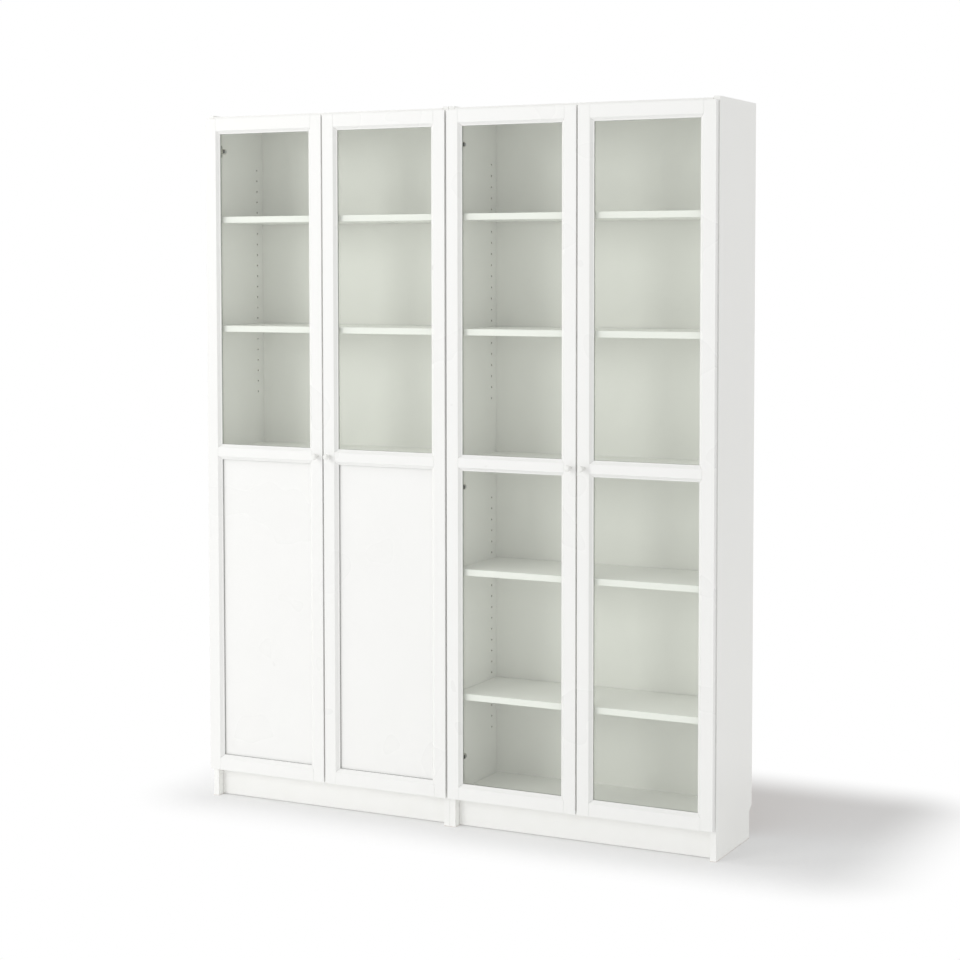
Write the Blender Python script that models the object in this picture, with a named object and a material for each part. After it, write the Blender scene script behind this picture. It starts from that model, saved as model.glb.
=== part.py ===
"""Two tall bookcase units side by side, each closed by a pair of framed doors.

Metres, +Z up, the front towards -Y. The origin is on the floor, under the middle of
the whole piece of furniture. The boards stand still, and each door turns on an upright
axis through its hinge pins, where it has an empty as its parent.
"""

import math

import bmesh
import bpy
from mathutils import Matrix, Vector

# Overall sizes
UNIT_WIDTH = 0.800
UNIT_HEIGHT = 2.024          # floor to the tops of the sides
TOP_PANEL_DROP = 0.004      # tops of the sides to the face of the top panel
UNIT_DEPTH = 0.300          # door faces to the rear edges of the sides
FIT = 0.0003                # left between faces that meet
OVERSHOOT = 0.001           # how far a cut runs past the face it opens

# Boards
BOARD = 0.018
BOARD_EASE = 0.0005         # eased edge of a board or a pane
BOTTOM_HEIGHT = 0.083       # floor to the underside of the bottom panel
PLINTH_THICKNESS = 0.016
PLINTH_SETBACK = 0.025
PLINTH_LIFT = 0.002
SKIRTING_DEPTH = 0.020      # notch behind the sides for a skirting board
SKIRTING_HEIGHT = 0.075
SKIRTING_SLANT = 0.014

# Back panel and the grooves it slides in
BACK_THICKNESS = 0.0035
BACK_INSET = 0.016          # rear edges of the sides to the panel
GROOVE_DEPTH = 0.006

# Shelves and their pins
SHELF_SETBACK = 0.002
SHELF_REAR_ROOM = 0.0027
SHELF_END_ROOM = 0.0008
PIN_RADIUS = 0.0025
PIN_SIDES = 10
PIN_REACH = 0.008           # into the side, and into the shelf's end
PIN_RISE = 0.0035           # underside of the shelf to the pins' centres
PIN_FROM_FRONT = 0.037
PIN_FROM_REAR = 0.050
ROW_PITCH = 0.032
TOP_ROW_DROP = 0.1512       # tops of the sides to the topmost pin row
LOW_ROW_RISE = 0.1398       # bottom panel to the lowest pin row
UPPER_SHELF_ROWS = (5, 15)  # counted down from the topmost row
LOWER_SHELF_ROWS = (15, 4)  # counted up from the lowest row

# Doors
DOOR_THICKNESS = 0.018
DOOR_STANDOFF = 0.0025      # door backs to the front edges of the boards
DOOR_INSET = 0.003          # outline of the unit to a door's hinge edge
DOOR_PAIR_GAP = 0.005
DOOR_TOP_REVEAL = 0.011     # tops of the sides to the doors' upper edges
DOOR_LIFT = 0.002           # underside of the bottom panel to the doors' lower edges
DOOR_ROUND = 0.0015
DOOR_ROUND_STEPS = 3
DOOR_BACK_EASE = 0.001
FRAME_BEVEL = 0.0075        # slope round the openings, as deep as it is wide
LIP_FLAT = 0.0025           # narrow flat between the slope and the opening
MID_RAIL_WIDTH = 0.045
MID_RAIL_RISE = 0.950       # lower edge of the door to the middle of the rail
REBATE_DEPTH = 0.004
REBATE_LEDGE = 0.005
PANE_JOINT = 0.001          # between two panes behind the middle rail

# Knobs
KNOB_EDGE = 0.0175          # free edge of the door to the knob's centre
KNOB_RADIUS = 0.009
KNOB_NECK_RADIUS = 0.0045
KNOB_FOOT_RADIUS = 0.006
KNOB_FOOT = 0.0025
KNOB_NECK = 0.008
KNOB_LENGTH = 0.022
KNOB_DOME = 0.003
KNOB_SIDES = 20

# Hinges
CUP_RADIUS = 0.0172
CUP_WALL = 0.0009
CUP_FLOOR = 0.0007
CUP_DEPTH = 0.0145
CUP_SIDES = 20
CUP_LIP = 0.0011            # door back to the outer face of the wings
CUP_EDGE = 0.003            # hinge edge of the door to the bore for the cup
CUP_WEB = 0.002             # wood between that bore and the rebate
WING_WIDTH = 0.014
WING_SPAN = 0.062
HINGE_PIN_RADIUS = 0.001
HINGE_PIN_SIDES = 12
EYE_RADIUS = 0.002
EYE_ROOM = 0.0013           # eye of the arm to the wall of the cup
EYE_SIDES = 12
ARM_THICKNESS = 0.002
ARM_WIDTH = 0.009
ARM_OFFSET = 0.0129         # hinge axis to the near face of the arm's long leg
ARM_REACH = 0.060           # door back to the end of the long leg
PLATE_START = 0.020         # door back to the front end of the mounting plate
PLATE_HEIGHT = 0.036
PLATE_OVERLAP = 0.0005
TOP_HINGE_DROP = 0.0922     # upper edge of the door to the top hinge
MID_HINGE_DROP = 0.0742     # middle of the rail to the hinge under it
LOW_HINGE_RISE = 0.1078     # lower edge of the door to the lowest hinge

# Places worked out from the sizes above, front to back
FRONT = (KNOB_LENGTH - UNIT_DEPTH) / 2
REAR = FRONT + UNIT_DEPTH
DOOR_BACK = FRONT + DOOR_THICKNESS
CARCASS_FRONT = DOOR_BACK + DOOR_STANDOFF
BACK_FACE = REAR - BACK_INSET - BACK_THICKNESS
SHELF_REAR = BACK_FACE - SHELF_REAR_ROOM

# Places worked out from side to side, in one unit
HALF_UNIT = UNIT_WIDTH / 2
HALF_INSIDE = HALF_UNIT - BOARD
UNIT_SPACING = UNIT_WIDTH + FIT
DOOR_WIDTH = HALF_UNIT - DOOR_INSET - DOOR_PAIR_GAP / 2

# Places worked out from the floor up
TOP_FACE = UNIT_HEIGHT - TOP_PANEL_DROP
DOOR_FOOT = BOTTOM_HEIGHT + DOOR_LIFT
DOOR_HEIGHT = UNIT_HEIGHT - DOOR_TOP_REVEAL - DOOR_FOOT
MID_RAIL_HEIGHT = DOOR_FOOT + MID_RAIL_RISE
HINGE_HEIGHTS = (
    DOOR_HEIGHT - TOP_HINGE_DROP,
    MID_RAIL_RISE - MID_HINGE_DROP,
    LOW_HINGE_RISE,
)
TOP_ROW = UNIT_HEIGHT - TOP_ROW_DROP
LOW_ROW = BOTTOM_HEIGHT + BOARD + LOW_ROW_RISE
PIN_HEIGHTS = (
    *(TOP_ROW - row * ROW_PITCH for row in UPPER_SHELF_ROWS),
    *(LOW_ROW + row * ROW_PITCH for row in LOWER_SHELF_ROWS),
)
PIN_PLACES = (CARCASS_FRONT + PIN_FROM_FRONT, REAR - PIN_FROM_REAR)

# Places in a door, from its hinge edge and from its back face
BORE_RADIUS = CUP_RADIUS + FIT
CUP_CENTRE = CUP_EDGE + BORE_RADIUS
REBATE_EDGE = CUP_CENTRE + BORE_RADIUS + CUP_WEB
MEMBER_WIDTH = REBATE_EDGE + REBATE_LEDGE
CUP_BORE = CUP_RADIUS - CUP_WALL
AXIS_ACROSS = CUP_CENTRE - CUP_BORE + EYE_RADIUS + EYE_ROOM
AXIS_DEPTH = CUP_DEPTH - CUP_FLOOR - EYE_RADIUS - FIT


def linear(hex_colour):
    """The linear colour of an sRGB hex value."""
    parts = [int(hex_colour[i:i + 2], 16) / 255 for i in (0, 2, 4)]
    return [part / 12.92 if part <= 0.04045 else ((part + 0.055) / 1.055) ** 2.4 for part in parts]


def finish(name, hex_colour, roughness, metallic=0.0, transmission=0.0):
    """A material of one colour."""
    look = bpy.data.materials.new(name)
    look.use_nodes = True
    shader = look.node_tree.nodes["Principled BSDF"]
    shader.inputs["Base Color"].default_value = (*linear(hex_colour), 1.0)
    shader.inputs["Roughness"].default_value = roughness
    shader.inputs["Metallic"].default_value = metallic
    shader.inputs["Transmission Weight"].default_value = transmission
    return look


def block(low, high):
    """A box between two opposite corners."""
    low, high = Vector(low), Vector(high)
    size = Vector([abs(far - near) for near, far in zip(low, high)])
    shape = bmesh.new()
    bmesh.ops.create_cube(shape, size=1.0)
    bmesh.ops.scale(shape, vec=size, verts=shape.verts)
    bmesh.ops.translate(shape, vec=(low + high) / 2, verts=shape.verts)
    return shape


def rod(start, end, radius, sides):
    """A round bar from one point to another."""
    start, end = Vector(start), Vector(end)
    turn = (end - start).to_track_quat("Z", "Y").to_matrix().to_4x4()
    shape = bmesh.new()
    bmesh.ops.create_cone(
        shape, cap_ends=True, segments=sides, radius1=radius, radius2=radius,
        depth=(end - start).length, matrix=Matrix.Translation((start + end) / 2) @ turn,
    )
    return shape


def prism(outline, push):
    """The solid that a flat outline sweeps along a push."""
    shape = bmesh.new()
    face = shape.faces.new([shape.verts.new(point) for point in outline])
    swept = bmesh.ops.extrude_face_region(shape, geom=[face])["geom"]
    moved = [item for item in swept if isinstance(item, bmesh.types.BMVert)]
    bmesh.ops.translate(shape, vec=push, verts=moved)
    bmesh.ops.recalc_face_normals(shape, faces=shape.faces)
    return shape


def turned(profile, sides):
    """A solid turned about the Y axis, from its radius at each step along it."""
    shape = bmesh.new()
    points = [shape.verts.new((radius, along, 0.0)) for along, radius in profile]
    lines = [shape.edges.new(pair) for pair in zip(points, points[1:])]
    bmesh.ops.spin(
        shape, geom=points + lines, cent=(0, 0, 0), axis=(0, 1, 0),
        angle=math.tau, steps=sides, use_merge=True,
    )
    bmesh.ops.remove_doubles(shape, verts=shape.verts, dist=FIT / 10)
    bmesh.ops.recalc_face_normals(shape, faces=shape.faces)
    return shape


def bevel(shape, edges, width, steps=1):
    bmesh.ops.bevel(
        shape, geom=edges, offset=width, segments=steps,
        profile=0.5, affect="EDGES", material=-1,
    )
    return shape


def eased(shape):
    """A board or a pane with its sharp edges taken off."""
    return bevel(shape, shape.edges[:], BOARD_EASE)


def mesh_of(shape):
    mesh = bpy.data.meshes.new("shape")
    shape.to_mesh(mesh)
    shape.free()
    return mesh


def place(name, mesh, look, parent, location=(0, 0, 0), turn=0.0):
    """A finished piece, turned about the front-to-back direction."""
    mesh.name = name
    if not mesh.materials:
        mesh.materials.append(look)
    thing = bpy.data.objects.new(name, mesh)
    bpy.context.scene.collection.objects.link(thing)
    thing.parent = parent
    thing.location = location
    thing.rotation_euler = (0, turn, 0)
    return thing


def marker(name, location, parent=None):
    """An empty that other pieces are placed from."""
    empty = bpy.data.objects.new(name, None)
    bpy.context.scene.collection.objects.link(empty)
    empty.location = location
    empty.parent = parent
    return empty


def worked(shape, *steps):
    """The mesh left when a shape has been joined with, or cut by, other shapes in turn."""
    blank = bpy.data.objects.new("blank", mesh_of(shape))
    bpy.context.scene.collection.objects.link(blank)
    tools = []
    for operation, tool_shape in steps:
        mesh = tool_shape if isinstance(tool_shape, bpy.types.Mesh) else mesh_of(tool_shape)
        tool = bpy.data.objects.new("tool", mesh)
        bpy.context.scene.collection.objects.link(tool)
        tools.append(tool)
        change = blank.modifiers.new(operation.lower(), "BOOLEAN")
        change.operation = operation
        change.solver = "EXACT"
        change.object = tool
    graph = bpy.context.evaluated_depsgraph_get()
    mesh = bpy.data.meshes.new_from_object(blank.evaluated_get(graph))
    for done in (blank, *tools):
        bpy.data.objects.remove(done)
    return mesh


def smooth(mesh, sharp_above=40):
    """Round faces shaded smooth, with the corners between them kept."""
    mesh.shade_smooth()
    mesh.set_sharp_from_angle(angle=math.radians(sharp_above))
    return mesh


def side_panel(hand):
    """A side, its inner face at 0 and its wood towards -X for hand 1, or towards +X for hand -1."""
    notch = REAR - SKIRTING_DEPTH
    outline = (
        (0, CARCASS_FRONT, 0),
        (0, notch, 0),
        (0, notch, SKIRTING_HEIGHT),
        (0, REAR, SKIRTING_HEIGHT + SKIRTING_SLANT),
        (0, REAR, UNIT_HEIGHT),
        (0, CARCASS_FRONT, UNIT_HEIGHT),
    )
    panel = eased(prism(outline, (-hand * BOARD, 0, 0)))
    groove = block(
        (hand * OVERSHOOT, BACK_FACE - FIT, -OVERSHOOT),
        (-hand * GROOVE_DEPTH, BACK_FACE + BACK_THICKNESS + FIT, UNIT_HEIGHT + OVERSHOOT),
    )
    holes = [
        rod((hand * OVERSHOOT, along, height), (-hand * (PIN_REACH + FIT), along, height),
            PIN_RADIUS + FIT, PIN_SIDES)
        for along in PIN_PLACES for height in PIN_HEIGHTS
    ]
    return worked(panel, ("DIFFERENCE", groove), *(("DIFFERENCE", hole) for hole in holes))


def cross_panel(low, high, rear):
    """A board between the sides."""
    half = HALF_INSIDE - FIT
    return eased(block((-half, CARCASS_FRONT, low), (half, rear, high)))


def top_panel():
    """The top, with the groove that holds the back panel's upper edge."""
    underside = TOP_FACE - BOARD
    groove = block(
        (-HALF_UNIT, BACK_FACE - FIT, underside - OVERSHOOT),
        (HALF_UNIT, BACK_FACE + BACK_THICKNESS + FIT, underside + GROOVE_DEPTH),
    )
    return worked(cross_panel(underside, TOP_FACE, REAR), ("DIFFERENCE", groove))


def adjustable_shelf():
    """A shelf with its four pins, its underside at height 0."""
    half = HALF_INSIDE - SHELF_END_ROOM
    board = eased(block((-half, CARCASS_FRONT + SHELF_SETBACK, 0), (half, SHELF_REAR, BOARD)))
    pins = [
        rod((end * (HALF_INSIDE - PIN_REACH), along, PIN_RISE),
            (end * (HALF_INSIDE + PIN_REACH), along, PIN_RISE), PIN_RADIUS, PIN_SIDES)
        for end in (-1, 1) for along in PIN_PLACES
    ]
    return smooth(worked(board, *(("UNION", pin) for pin in pins)))


def plinth():
    half = HALF_INSIDE - FIT
    front = CARCASS_FRONT + PLINTH_SETBACK
    return eased(block((-half, front, PLINTH_LIFT),
                       (half, front + PLINTH_THICKNESS, BOTTOM_HEIGHT - FIT)))


def back_panel():
    half = HALF_INSIDE + GROOVE_DEPTH - FIT
    top = TOP_FACE - BOARD + GROOVE_DEPTH - FIT
    return eased(block((-half, BACK_FACE, BOTTOM_HEIGHT), (half, BACK_FACE + BACK_THICKNESS, top)))


def in_door(hand, across, behind, up):
    """A place in a door: from its hinge edge, behind its back face and above its lower edge."""
    return Vector((hand * (across - AXIS_ACROSS), behind + AXIS_DEPTH, up))


def door_opening(hand, low, high):
    """The cut for one opening: straight, then a step for the flat, then flared by the bevel."""
    straight_front = FRAME_BEVEL - DOOR_THICKNESS
    near = in_door(hand, MEMBER_WIDTH, straight_front, low)
    far = in_door(hand, DOOR_WIDTH - MEMBER_WIDTH, OVERSHOOT, high)
    shape = block(near, far)
    shape.faces.ensure_lookup_table()
    front = min(shape.faces, key=lambda face: face.calc_center_median().y)
    middle = (near + far) / 2
    flare = FRAME_BEVEL + OVERSHOOT
    for outward, forward in ((LIP_FLAT, 0.0), (flare, flare)):
        swept = bmesh.ops.extrude_face_region(shape, geom=[front])["geom"]
        for point in swept:
            if isinstance(point, bmesh.types.BMVert):
                point.co.x += math.copysign(outward, point.co.x - middle.x)
                point.co.y -= forward
                point.co.z += math.copysign(outward, point.co.z - middle.z)
        bmesh.ops.delete(shape, geom=[front], context="FACES_ONLY")
        front = next(item for item in swept if isinstance(item, bmesh.types.BMFace))
    bmesh.ops.recalc_face_normals(shape, faces=shape.faces)
    return shape


def door_frame(hand):
    """Two stiles and three rails as one frame, rebated behind and bored for three cups."""
    blank = block(in_door(hand, 0, -DOOR_THICKNESS, 0), in_door(hand, DOOR_WIDTH, 0, DOOR_HEIGHT))
    back = in_door(hand, 0, 0, 0).y

    def at_back(edge):
        return all(abs(point.co.y - back) < FIT for point in edge.verts)

    bevel(blank, [edge for edge in blank.edges if not at_back(edge)], DOOR_ROUND, DOOR_ROUND_STEPS)
    bevel(blank, [edge for edge in blank.edges if at_back(edge)], DOOR_BACK_EASE)
    under_rail = MID_RAIL_RISE - MID_RAIL_WIDTH / 2
    over_rail = MID_RAIL_RISE + MID_RAIL_WIDTH / 2
    rebate = block(
        in_door(hand, REBATE_EDGE, -REBATE_DEPTH, REBATE_EDGE),
        in_door(hand, DOOR_WIDTH - REBATE_EDGE, 2 * OVERSHOOT, DOOR_HEIGHT - REBATE_EDGE),
    )
    bores = [
        rod(in_door(hand, CUP_CENTRE, -CUP_DEPTH - FIT, height),
            in_door(hand, CUP_CENTRE, OVERSHOOT, height), BORE_RADIUS, CUP_SIDES)
        for height in HINGE_HEIGHTS
    ]
    return worked(
        blank,
        ("DIFFERENCE", rebate),
        ("DIFFERENCE", door_opening(hand, MEMBER_WIDTH, under_rail)),
        ("DIFFERENCE", door_opening(hand, over_rail, DOOR_HEIGHT - MEMBER_WIDTH)),
        *(("DIFFERENCE", bore) for bore in bores),
    )


def pane(hand, low, high):
    """A pane or a panel that lies in the rebate, between two heights."""
    edge = REBATE_EDGE + FIT
    return eased(block(in_door(hand, edge, FIT - REBATE_DEPTH, low),
                       in_door(hand, DOOR_WIDTH - edge, FIT, high)))


def knob():
    """A turned knob, its foot against a door face at 0 and its dome towards -Y."""
    neck_end = KNOB_FOOT + KNOB_NECK
    shoulder = neck_end + KNOB_RADIUS - KNOB_NECK_RADIUS
    profile = (
        (-FIT, 0.0),
        (-FIT, KNOB_FOOT_RADIUS),
        (-KNOB_FOOT, KNOB_FOOT_RADIUS),
        (-KNOB_FOOT, KNOB_NECK_RADIUS),
        (-neck_end, KNOB_NECK_RADIUS),
        (-shoulder, KNOB_RADIUS),
        (KNOB_DOME - KNOB_LENGTH, KNOB_RADIUS),
        (KNOB_DOME / 3 - KNOB_LENGTH, KNOB_RADIUS - KNOB_DOME * 2 / 3),
        (-KNOB_LENGTH, KNOB_RADIUS - KNOB_DOME * 2),
        (-KNOB_LENGTH, 0.0),
    )
    return smooth(mesh_of(turned(profile, KNOB_SIDES)))


def hinge_cup():
    """A cup with its two wings and the pin across it, placed from that pin."""
    half_wing = WING_WIDTH / 2
    back = in_door(1, CUP_CENTRE, FIT, 0)

    def along(behind):
        return in_door(1, CUP_CENTRE, behind, 0)

    body = rod(along(-CUP_DEPTH), along(CUP_LIP - FIT), CUP_RADIUS, CUP_SIDES)
    wings = block(back - Vector((half_wing, 0, WING_SPAN / 2)),
                  back + Vector((half_wing, CUP_LIP - FIT, WING_SPAN / 2)))
    hollow = rod(along(CUP_FLOOR - CUP_DEPTH), along(CUP_LIP + OVERSHOOT), CUP_BORE, CUP_SIDES)
    pin = rod((0, 0, -CUP_RADIUS), (0, 0, CUP_RADIUS), HINGE_PIN_RADIUS, HINGE_PIN_SIDES)
    hollow_round_pin = worked(hollow, ("DIFFERENCE", pin))
    return smooth(worked(body, ("UNION", wings), ("DIFFERENCE", hollow_round_pin)))


def hinge_arm():
    """An arm with its mounting plate, placed from the pin that its eye turns on."""
    half = ARM_THICKNESS / 2
    bite = math.asin(half / EYE_RADIUS)
    turns = [bite + (math.tau - 2 * bite) * step / EYE_SIDES for step in range(EYE_SIDES + 1)]
    eye = [(EYE_RADIUS * math.cos(turn), EYE_RADIUS * math.sin(turn)) for turn in turns]
    leg_end = AXIS_DEPTH + ARM_REACH
    leg = (
        (ARM_OFFSET + ARM_THICKNESS, -half),
        (ARM_OFFSET + ARM_THICKNESS, leg_end),
        (ARM_OFFSET, leg_end),
        (ARM_OFFSET, half),
    )
    outline = [(across, along, -ARM_WIDTH / 2) for across, along in (*eye, *leg)]
    side_face = BOARD - DOOR_INSET - AXIS_ACROSS
    plate = block(
        (side_face + FIT, AXIS_DEPTH + PLATE_START, -PLATE_HEIGHT / 2),
        (ARM_OFFSET + PLATE_OVERLAP, leg_end - PLATE_OVERLAP, PLATE_HEIGHT / 2),
    )
    hole = rod((0, 0, -ARM_WIDTH), (0, 0, ARM_WIDTH), HINGE_PIN_RADIUS + FIT, HINGE_PIN_SIDES)
    arm = worked(prism(outline, (0, 0, ARM_WIDTH)), ("UNION", plate), ("DIFFERENCE", hole))
    return smooth(arm)


def build_unit(number, middle, meshes, looks):
    """The boards of one unit, without its doors."""
    unit = marker(f"unit_{number}", (middle, 0, 0))
    foil = looks["foil"]
    for end, hand in (("left", 1), ("right", -1)):
        place(f"unit_{number}_side_{end}", meshes["side", hand], foil, unit,
              (-hand * HALF_INSIDE, 0, 0))
    for name in ("top_panel", "bottom_panel", "fixed_shelf", "plinth"):
        place(f"unit_{number}_{name}", meshes[name], foil, unit)
    place(f"unit_{number}_back_panel", meshes["back_panel"], looks["back"], unit)
    for row, height in enumerate(PIN_HEIGHTS, start=1):
        place(f"unit_{number}_shelf_{row}", meshes["shelf"], foil, unit,
              (0, 0, height - PIN_RISE))
    return unit


def build_door(number, unit, hand, lower_is_glass, meshes, looks):
    """A door on its hinges: hinge edge on the left for hand 1, on the right for hand -1."""
    axis = (-hand * (HALF_UNIT - DOOR_INSET - AXIS_ACROSS), DOOR_BACK - AXIS_DEPTH, DOOR_FOOT)
    hung = marker(f"door_{number}_axis", axis, unit)
    place(f"door_{number}_frame", meshes["frame", hand], looks["lacquer"], hung)
    pane_foot = REBATE_EDGE + FIT
    pane_head = DOOR_HEIGHT - pane_foot
    half_joint = PANE_JOINT / 2
    if lower_is_glass:
        place(f"door_{number}_glass", mesh_of(pane(hand, pane_foot, pane_head)),
              looks["glass"], hung)
    else:
        place(f"door_{number}_glass",
              mesh_of(pane(hand, MID_RAIL_RISE + half_joint, pane_head)), looks["glass"], hung)
        place(f"door_{number}_lower_panel",
              mesh_of(pane(hand, pane_foot, MID_RAIL_RISE - half_joint)), looks["lacquer"], hung)
    place(f"door_{number}_knob", meshes["knob"], looks["knob"], hung,
          in_door(hand, DOOR_WIDTH - KNOB_EDGE, -DOOR_THICKNESS, MID_RAIL_RISE))
    turn = 0.0 if hand == 1 else math.pi
    for row, height in enumerate(HINGE_HEIGHTS, start=1):
        place(f"door_{number}_hinge_cup_{row}", meshes["cup"], looks["nickel"], hung,
              (0, 0, height), turn)
        place(f"door_{number}_hinge_arm_{row}", meshes["arm"], looks["nickel"], unit,
              (axis[0], axis[1], axis[2] + height), turn)


def build():
    for thing in list(bpy.data.objects):
        bpy.data.objects.remove(thing)
    looks = {
        "foil": finish("white_foil", "f4f4f1", 0.45),
        "back": finish("white_printed_fibreboard", "f0f0ec", 0.55),
        "lacquer": finish("white_lacquer", "fafaf8", 0.38),
        "glass": finish("clear_glass", "eef4ec", 0.03, transmission=1.0),
        "knob": finish("white_painted_knob", "f6f6f3", 0.35),
        "nickel": finish("nickel_plated_steel", "b9b7b1", 0.30, metallic=1.0),
    }
    board_rear = BACK_FACE - FIT
    meshes = {
        "top_panel": top_panel(),
        "bottom_panel": mesh_of(cross_panel(BOTTOM_HEIGHT, BOTTOM_HEIGHT + BOARD, board_rear)),
        "fixed_shelf": mesh_of(cross_panel(MID_RAIL_HEIGHT - BOARD / 2,
                                           MID_RAIL_HEIGHT + BOARD / 2, board_rear)),
        "plinth": mesh_of(plinth()),
        "back_panel": mesh_of(back_panel()),
        "shelf": adjustable_shelf(),
        "knob": knob(),
        "cup": hinge_cup(),
        "arm": hinge_arm(),
    }
    for hand in (1, -1):
        meshes["side", hand] = side_panel(hand)
        meshes["frame", hand] = door_frame(hand)
    for number, lower_is_glass in ((1, False), (2, True)):
        middle = (number - 1.5) * UNIT_SPACING
        unit = build_unit(number, middle, meshes, looks)
        for hand in (1, -1):
            door = 2 * number - (hand == 1)
            build_door(door, unit, hand, lower_is_glass, meshes, looks)


build()
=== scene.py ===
"""The finished look of two tall bookcase units with framed doors.

Metres, +Z up, the doors towards -Y. The sections follow the furniture as it is put
together: sides, boards between them, back, shelves, door frames, glass, knobs, hinges.
"""
import math

import bmesh
import bpy
from mathutils import Matrix, Vector


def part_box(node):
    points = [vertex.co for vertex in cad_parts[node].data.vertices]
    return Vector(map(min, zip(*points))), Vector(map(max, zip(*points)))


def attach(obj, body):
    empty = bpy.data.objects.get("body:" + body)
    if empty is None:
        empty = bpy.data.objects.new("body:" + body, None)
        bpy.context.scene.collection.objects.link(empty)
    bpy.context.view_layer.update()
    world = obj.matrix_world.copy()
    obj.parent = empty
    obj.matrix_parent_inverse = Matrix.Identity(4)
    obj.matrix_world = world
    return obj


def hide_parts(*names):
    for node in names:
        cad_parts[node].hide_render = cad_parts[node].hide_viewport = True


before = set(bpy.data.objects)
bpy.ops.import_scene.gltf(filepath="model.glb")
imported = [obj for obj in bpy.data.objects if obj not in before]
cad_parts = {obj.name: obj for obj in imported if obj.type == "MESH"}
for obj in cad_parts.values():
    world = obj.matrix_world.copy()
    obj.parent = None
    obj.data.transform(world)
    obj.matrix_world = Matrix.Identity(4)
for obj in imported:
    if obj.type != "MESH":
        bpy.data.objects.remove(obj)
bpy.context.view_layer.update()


# ---------------------------------------------------------------------------------------
# Sides. Each unit stands on two 18 mm chipboard sides wrapped in white melamine foil, with
# an edge band ironed on in front. They are bored for shelf pins in two columns at a 32 mm
# pitch, grooved for the back, and notched at the rear foot for a skirting board.

BOARD = 0.018
EASE = 0.0006
FRONT_EASE = 0.0011         # rounder front edges of the upright boards
HAIR = 0.0001               # left between pieces that touch, or sunk where they join
OVERSHOOT = 0.001
ROW_PITCH = 0.032
TOP_PIN_ROW = 1.8728
PIN_ROWS = (*range(22), *range(30, 52))
PIN_COLUMNS = (-0.0815, 0.111)
PIN_HOLE_RADIUS = 0.0026
PIN_HOLE_DEPTH = 0.0120
GROOVE_DEPTH = 0.006
GROOVE = (0.1412, 0.1453)
NOTCH_DEPTH = 0.020
NOTCH_HEIGHT = 0.075
NOTCH_SLANT = 0.014


def linear(colour):
    """An sRGB hex colour as linear red, green and blue, with a full alpha."""
    parts = [int(colour[i:i + 2], 16) / 255 for i in (0, 2, 4)]
    return (*[p / 12.92 if p <= 0.04045 else ((p + 0.055) / 1.055) ** 2.4 for p in parts], 1.0)


def feed(look, node, sockets):
    """Sets a node's sockets, or links them where the value is another node's output."""
    for socket, value in sockets.items():
        if isinstance(value, bpy.types.NodeSocket):
            look.node_tree.links.new(value, node.inputs[socket])
        else:
            node.inputs[socket].default_value = value


def add(look, kind, sockets=None, **settings):
    """A new node with its settings and its sockets fed."""
    node = look.node_tree.nodes.new(kind)
    for name, value in settings.items():
        setattr(node, name, value)
    feed(look, node, sockets or {})
    return node


def new_look(name, **sockets):
    """A material with its one shader, and where its patterns are measured from."""
    look = bpy.data.materials.new(name)
    look.use_nodes = True
    shader = look.node_tree.nodes["Principled BSDF"]
    feed(look, shader, {name.replace("_", " "): value for name, value in sockets.items()})
    place = add(look, "ShaderNodeTexCoord").outputs["Object"]
    return look, shader, place


def coated(name, pale, deep, cloud, sheen, grain, relief):
    """A coated board: faint clouds between two colours, an uneven sheen and a fine grain."""
    look, shader, place = new_look(name, IOR=1.5)
    clouds = add(look, "ShaderNodeTexNoise", {"Vector": place, "Scale": 1 / cloud, "Detail": 1.0})
    # Inputs 6 and 7 and output 2 of a Mix node are its colours.
    colour = add(look, "ShaderNodeMix", {
        0: clouds.outputs["Fac"], 6: linear(deep), 7: linear(pale)}, data_type="RGBA")
    gloss = add(look, "ShaderNodeMapRange", {
        "Value": clouds.outputs["Fac"], "From Min": 0.3, "From Max": 0.7,
        "To Min": sheen[0], "To Max": sheen[1]})
    fine = add(look, "ShaderNodeTexNoise", {"Vector": place, "Scale": 1 / grain, "Detail": 2.0})
    raised = add(look, "ShaderNodeBump", {
        "Height": fine.outputs["Fac"], "Strength": 1.0, "Distance": relief})
    feed(look, shader, {
        "Base Color": colour.outputs[2], "Roughness": gloss.outputs["Result"],
        "Normal": raised.outputs["Normal"]})
    return look


# White melamine foil, rolled onto chipboard: an even off-white with a satin sheen. Its
# print texture is about 0.3 mm, drawn at 2.5 mm so that it shows.
foil = coated("melamine_foil_on_chipboard", "fbfbf8", "f8f8f5", 0.11, (0.36, 0.48), 0.0025, 2.0e-5)
# ABS edge band, ironed on and scraped flush: a little whiter and smoother than the foil.
band = coated("abs_edge_band", "fafaf8", "f7f7f4", 0.05, (0.30, 0.38), 0.0040, 1.0e-5)


def chipboard(name, pale, deep, chip):
    """Raw chipboard where it was sawn or bored: pressed chips of two browns, rough all over."""
    look, shader, place = new_look(name, Roughness=0.85, IOR=1.45)
    chips = add(look, "ShaderNodeTexVoronoi", {"Vector": place, "Scale": 1 / chip})
    fibres = add(look, "ShaderNodeTexNoise", {"Vector": place, "Scale": 3 / chip, "Detail": 4.0})
    shade = add(look, "ShaderNodeMath", {0: chips.outputs["Distance"], 1: fibres.outputs["Fac"]},
                operation="MULTIPLY")
    spread = add(look, "ShaderNodeMapRange", {"Value": shade.outputs[0], "From Max": 0.5})
    colour = add(look, "ShaderNodeMix", {
        0: spread.outputs["Result"], 6: linear(deep), 7: linear(pale)}, data_type="RGBA")
    raised = add(look, "ShaderNodeBump", {
        "Height": shade.outputs[0], "Strength": 0.8, "Distance": 0.0004})
    feed(look, shader, {"Base Color": colour.outputs[2], "Normal": raised.outputs["Normal"]})
    return look


# Sawn chipboard: chips of about 3 mm in resin, seen under the sides and on cut ends.
sawn = chipboard("sawn_chipboard", "c8a77c", "7d5f3f", 0.003)
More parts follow.
